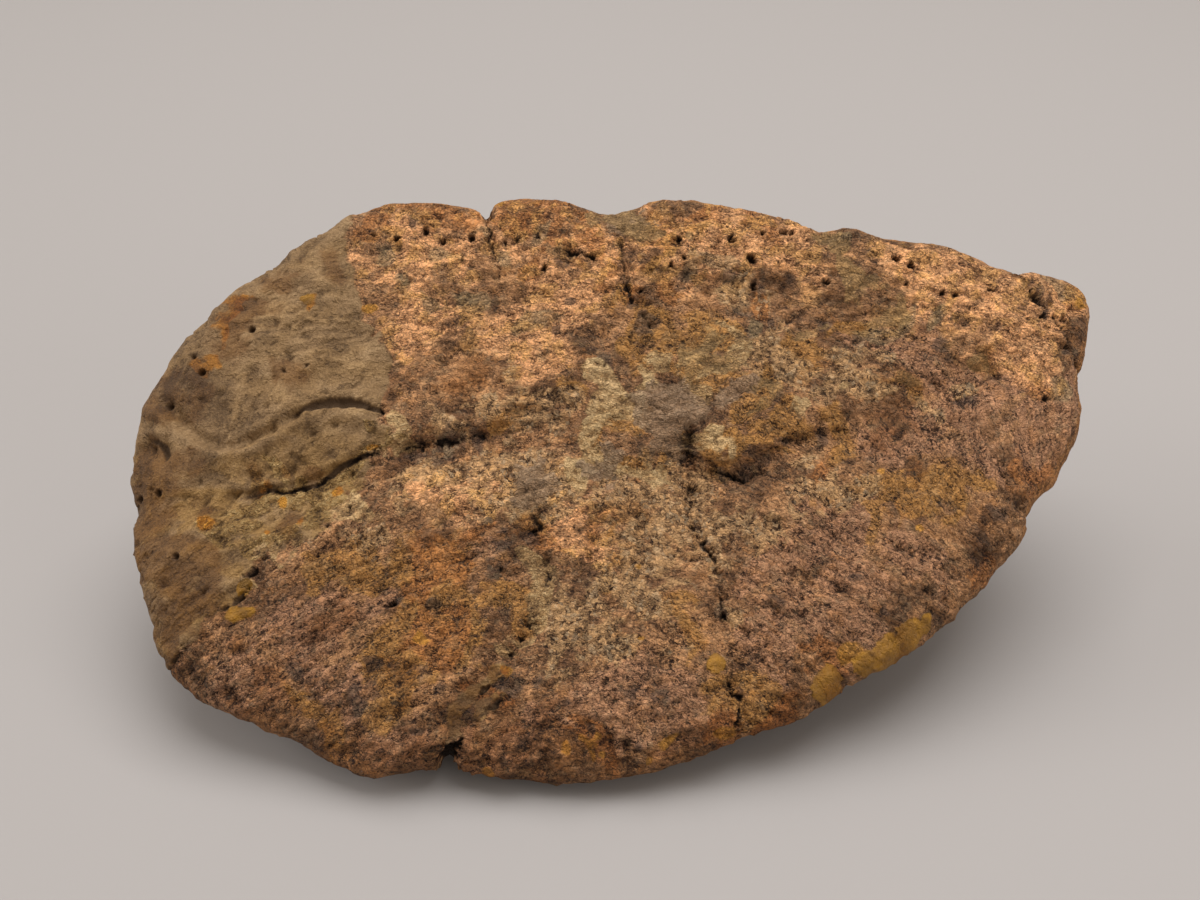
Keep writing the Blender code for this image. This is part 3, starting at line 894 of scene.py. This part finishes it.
def bone_finish():
    """Gritty stained bone, smooth brown putty and beads of yellow glue in one material."""
    material = bpy.data.materials.new("fossil_bone")
    material.use_nodes = True
    wiring = Wiring(material.node_tree)
    surface = material.node_tree.nodes["Principled BSDF"]

    def kept(name, out=2):
        return wiring.step("ShaderNodeAttribute", out=out, attribute_name=name)

    def tint(share, under, over, blend_type="MIX"):
        under, over = (colour if isinstance(colour, Value) else (*colour, 1) for colour in (under, over))
        values = {0: share, 6: under, 7: over}
        return wiring.step("ShaderNodeMix", values, out=2, data_type="RGBA", blend_type=blend_type)

    def multiplied(under, over):
        return tint(1.0, under, over, "MULTIPLY")

    def shades(value, stops):
        """The colour of a value on a scale of (value, colour) stops."""
        scale = wiring.step("ShaderNodeValToRGB", {0: value})
        stop_list = scale.socket.node.color_ramp.elements
        while len(stop_list) < len(stops):
            stop_list.new(0.5)
        for stop, (position, colour) in zip(stop_list, stops):
            stop.position = position
            stop.color = (*colour, 1)
        return scale

    # Noises and cells, from slow to fine.
    plate = kept("plate", out=1)
    relief = kept("relief_mm")
    rough = kept("rough")
    broad, spread, smear = (kept(name, out=1).channels() for name in ("broad", "spread", "smear"))
    coarse = plate.noise(3.2, 4, 0.65)
    ragged = coarse.swing(0.09)
    loose = plate.strayed(1.6, 0.35, 2)
    drawn = kept("drawn", out=1).vector("ADD", loose.vector("SUBTRACT", plate))
    clefts = abs(drawn.noise(2.7, 3, 0.6).swing(1))
    threads = abs(drawn.noise(1.8, 2, 0.6).swing(1))
    crumb = drawn.cells(2.0)
    crumb_lots = crumb.lots()
    pores = drawn.cells(1.35)
    pores = (pores - pores.lots()[0].ramp(0.25, 1.0, -0.10, 0.38)).ramp(0.10, -0.05)
    grains = loose.cells(0.95)
    grain_lots = grains.lots()
    fine = plate.noise(0.55, 3, 0.75)

    # The stained bone.
    bone_colour = tint((broad[0] + coarse.swing(0.06)).ramp(0.38, 0.62), *BONE_SHADES)
    for stain, (stain_colour, strength, waves) in STAIN_COLOURS.items():
        mosaic = (crumb_lots[1] - 0.5) * (0.3 if stain in ("manganese", "sandy") else 0.14)
        field = kept(stain) + spread[waves].swing(0.26) + mosaic + ragged
        bone_colour = tint(field.ramp(0.36, 0.68) * strength, bone_colour, stain_colour)
    rind = (kept("rind") + spread[1].swing(0.25)).ramp(0.35, 0.8)
    bone_colour = tint(rind * 0.8, bone_colour, RIND)
    sandy = (kept("sandy") + spread[1].swing(0.3)).ramp(0.25, 0.85)
    pores = pores * (coarse.ramp(0.42, 0.60, 0.35, 1.0) * sandy.blend(1.0, 0.35))
    rusty = crumb_lots[0].ramp(0.55, 0.95) * spread[2].ramp(0.42, 0.56) * 0.35
    bone_colour = tint(rusty, bone_colour, RUSTY_CRUMB)
    greenish = crumb_lots[1].ramp(0.60, 0.95) * spread[0].ramp(0.44, 0.58) * 0.3
    bone_colour = tint(greenish, bone_colour, GREENISH_CRUMB)
    gold = (spread[1] + crumb_lots[2] * 0.03).ramp(0.50, 0.60) * 0.5
    bone_colour = tint(gold * kept("salmon").ramp(0.1, 0.6), bone_colour, GOLD)

    # Its light and dark: grains and paler threads, with painted shade in the clefts, pores, gaps between
    # crumbs and low places of the relief, and painted light on its high points.
    grit = (grain_lots[1] - 0.5) * sandy.blend(0.24, 0.72)
    speckle_and_shade = grit + fine.swing(0.25) + pores * -0.30 + threads.ramp(0.22, 0.0, -0.03, 0.19)
    speckle_and_shade = (speckle_and_shade + clefts.ramp(0.16, 0.0, 0.04, -0.26)) * rough.ramp(0.95, 1.2, 1.0, 1.6)
    bleached_and_lit = (kept("bleached_and_lit") + spread[0].swing(0.2)).ramp(0.1, 0.9)
    tone = rough.ramp(0.92, 1.2, 0.58, 0.67) + speckle_and_shade + (0.5 - crumb) * 0.20 + coarse.swing(0.06)
    tone = tone + relief * 0.17 + relief.ramp(-1.6, -0.2, -0.1, 0.0) + bleached_and_lit * 0.22
    tone = (rind * 0.45).blend(tone, 0.52)
    bone_colour = multiplied(bone_colour, shades(tone, TONES))
    pale = grain_lots[2].ramp(0.80, 0.9) * sandy.blend(0.12, 0.5)
    bone_colour = tint(pale, bone_colour, LIME_GRAIN)

    # The putty, with its crust.
    wrinkle = drawn.noise(2.4, 3, 0.5)
    # The putty and crust are darker in pores, in the gaps between crumbs and in the low places of the
    # relief, as painted shade, and lighter on the high points, as painted light.
    putty_tone = smear[0].swing(0.13) + 0.495 + wrinkle.swing(0.08) + relief * 0.26
    putty_tone = putty_tone + fine.swing(0.16) + broad[1].swing(0.09) + pores.ramp(0.4, 1, 0, -0.18)
    putty_colour = shades(putty_tone, PUTTY_SHADES)
    yellow = (smear[1] + broad[2].swing(0.05)).ramp(0.42, 0.60) * plate.channels()[1].ramp(20, -6, 0.3, 1.0)
    putty_colour = tint(yellow, putty_colour, multiplied(putty_colour, PUTTY_YELLOW))
    crust_tone = (0.5 - crumb) * 0.4 + 0.52 + (0.5 - grains) * 0.25 + threads.ramp(0.25, 0.0, -0.04, 0.16)
    crust_tone = crust_tone + fine.swing(0.12) + relief * 0.18 + pores * -0.25 + bleached_and_lit * 0.2
    crust = (kept("crust") + spread[2].swing(0.28) + ragged).ramp(0.44, 0.66)
    putty_colour = tint(crust * 0.9, putty_colour, shades(crust_tone, CRUST_SHADES))

    # The thin film, the crust and the olive patches on the bone, and the edge of the putty.
    # The film is darker in pores, gaps between crumbs and low places of the relief as painted shade, and
    # lighter on high points as painted light; these tones also shade the olive and orange patches.
    film_tone = relief * 0.18 + 0.575 + (0.5 - crumb) * 0.25 + fine.swing(0.20) + (0.5 - grains) * 0.2
    film_tone = film_tone + pores * -0.2 + smear[0].swing(0.08) + bleached_and_lit * 0.08
    film = (kept("wiped") + spread[0].swing(1.8) + ragged * 10 + relief * 1.2).ramp(-0.4, 0.5)
    bone_colour = tint(crust * 0.85, bone_colour, shades(crust_tone, CREAM_SHADES))
    bone_colour = tint(film * 0.82, bone_colour, shades(film_tone, FILM_SHADES))
    olive = (kept("olive") + spread[2].swing(0.3) + ragged).ramp(0.40, 0.66)
    grain_and_shade_tones = shades(film_tone, OLIVE_TONES)
    bone_colour = tint(olive * 0.7, bone_colour, multiplied(OLIVE, grain_and_shade_tones))
    covered = (kept("putty_mm") + coarse.swing(0.5)).ramp(-0.5, 0.6)
    colour = tint(covered, bone_colour, putty_colour)

    # Orange spots, glue, and damp patches that are partly painted shade, over both.
    orange = (kept("orange") + spread[0].swing(0.28) + ragged).ramp(0.40, 0.70)
    orange_colour = tint(covered, multiplied(ORANGE, grain_and_shade_tones), multiplied(putty_colour, PUTTY_ORANGE))
    colour = tint(orange * 0.78, colour, orange_colour)
    glued = (kept("glue_mm") + coarse.swing(0.3)).ramp(-0.1, 0.35)
    colour = tint(glued * 0.9, colour, shades(coarse, GLUE_SHADES))
    # Damp patches, darker too in the low places of the relief as painted shade, as is their darkening along
    # the bottom rim and under the left groove's ledge.
    damp_and_shade = (kept("damp_and_shade") + spread[1].swing(0.2) + ragged * 1.6 + relief * -0.1).ramp(0.2, 0.8)
    colour = tint(damp_and_shade, colour, multiplied(colour, tint(covered, DAMP_AND_SHADE, PUTTY_DAMP_AND_SHADE)))

    # Painted shade along cracks and holes, and darker painted shade inside them.
    nibbled = plate.noise(1.1, 3, 0.7).swing(0.24)
    crack = kept("crack_mm") + nibbled * 0.5
    hole = kept("hole_mm") + nibbled
    shaded = crack.ramp(0.45, 0.0).most(hole.ramp(0.7, 0.0))
    colour = tint(shaded * 0.40, colour, CRACK_SHADE)
    hollow = crack.ramp(0.04, -0.12).most(hole.ramp(0.0, -0.35))
    clean_putty = covered * (1.0 - crust)
    colour = tint(hollow * 0.88, colour, tint(clean_putty, HOLLOW_SHADE, PUTTY_HOLLOW_SHADE))

    # The grain that is too fine for the mesh, and the dullness of bone, putty and glue.
    height = (0.4 - grains) * 0.95 + (0.5 - crumb) * 1.5 + fine.swing(0.12) + pores * -0.8
    height = height + clefts.ramp(0.2, 0.0, 0.0, -0.7) + threads.ramp(0.4, 0.0, 0.0, 0.75)
    height = height * (rind * 0.6).blend(rough, 0.3)
    putty_height = wrinkle.swing(0.36) + fine.swing(0.07) + pores.ramp(0.4, 1, 0, -0.2) + crust * height
    height = covered.most(glued).blend(height, putty_height)
    bump = wiring.step("ShaderNodeBump", {"Strength": 1.0, "Distance": MM, "Height": height})
    wiring.link(colour, surface.inputs["Base Color"])
    wiring.link(bump, surface.inputs["Normal"])
    wiring.link(glued.blend(covered.blend(0.9, 0.72), 0.55), surface.inputs["Roughness"])
    surface.inputs["Specular IOR Level"].default_value = 0.3
    return material


weathering = blank.modifiers.new("weathering", "NODES")
weathering.node_group = weathered_tree()
set_inputs(weathering, {
    "Crack drawing": crack_drawing,
    "Hole drawing": hole_drawing,
    "Lump height": 0.55 * MM,
    "Crumb height": 1.7 * MM,
    "Fibre height": 0.45 * MM,
    "Grain height": 0.35 * MM,
    "Pit depth": 0.8 * MM,
    "Putty thickness": 0.3 * MM,
    "Tool mark height": 0.7 * MM,
    "Crack valley": 0.35 * MM,
    "Vessel mark depth": 0.9 * MM,
    "Finish": bone_finish(),
})
skin = settle(blank)
for sheet in (crack_drawing, hole_drawing):
    bpy.data.objects.remove(sheet)

SPIKE_HEIGHT = 0.7 * MM


def wear_spikes(mesh):
    """Wears back each point that stands out too far past the middle of its neighbours."""
    ends = np.empty(len(mesh.edges) * 2, int)
    mesh.edges.foreach_get("vertices", ends)
    ends = ends.reshape(-1, 2)
    ends = np.concatenate([ends, ends[:, ::-1]])
    place = point_rows(mesh, "co")
    middle = np.stack([np.bincount(ends[:, 0], place[ends[:, 1], axis]) for axis in range(3)], 1)
    middle /= np.bincount(ends[:, 0])[:, None]
    proud = np.einsum("ij,ij->i", place - middle, point_rows(mesh, "normal"))
    worn = np.where((proud > SPIKE_HEIGHT)[:, None], middle, place)
    worn[:, 2] = np.maximum(worn[:, 2], 0)
    mesh.vertices.foreach_set("co", worn.ravel())
    mesh.update()


wear_spikes(skin)
skin.shade_smooth()
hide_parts("scute")
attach(blank, "root")

# ---- The table and the light ----
# A wide flat sheet of pale matt paper, under three soft lamps: a broad one above and a little behind,
# a weak one at the front right, and a far one low on the left. The room adds a faint warm light.

FLOOR_HALF = 20
PAPER = (0.31, 0.29, 0.275, 1)
PAPER_ROUGHNESS = 0.7
LAMP_COLOUR = (1.0, 1.0, 1.02)
ROOM_COLOUR = (1.0, 0.91, 0.83, 1)
ROOM_STRENGTH = 0.55

corners = [(x * FLOOR_HALF, y * FLOOR_HALF, 0) for x, y in ((-1, -1), (1, -1), (1, 1), (-1, 1))]
floor = put_in_scene("floor", bpy.data.meshes.new("floor"))
floor.data.from_pydata(corners, [], [(0, 1, 2, 3)])
paper = bpy.data.materials.new("pale_sheet")
paper.use_nodes = True
paper_surface = paper.node_tree.nodes["Principled BSDF"]
paper_surface.inputs["Base Color"].default_value = PAPER
paper_surface.inputs["Roughness"].default_value = PAPER_ROUGHNESS
floor.data.materials.append(paper)


def lamp(name, place, size, power):
    """A square soft lamp at a place, turned to face the plate."""
    data = bpy.data.lights.new(name, "AREA")
    data.size = size
    data.energy = power
    data.color = LAMP_COLOUR
    made = put_in_scene(name, data)
    made.location = place
    made.rotation_euler = (-Vector(place)).to_track_quat("-Z", "Y").to_euler()


lamp("overhead", (0.12, 0.20, 1.18), 1.0, 16)
lamp("right", (1.2, -0.9, 0.55), 0.9, 4.5)
lamp("side", (-2.3, 0.1, 1.07), 1.2, 28)
room = bpy.data.worlds.new("room")
room.use_nodes = True
background = room.node_tree.nodes["Background"].inputs
background["Color"].default_value = ROOM_COLOUR
background["Strength"].default_value = ROOM_STRENGTH
bpy.context.scene.world = room
bpy.context.scene.view_settings.view_transform = "Standard"
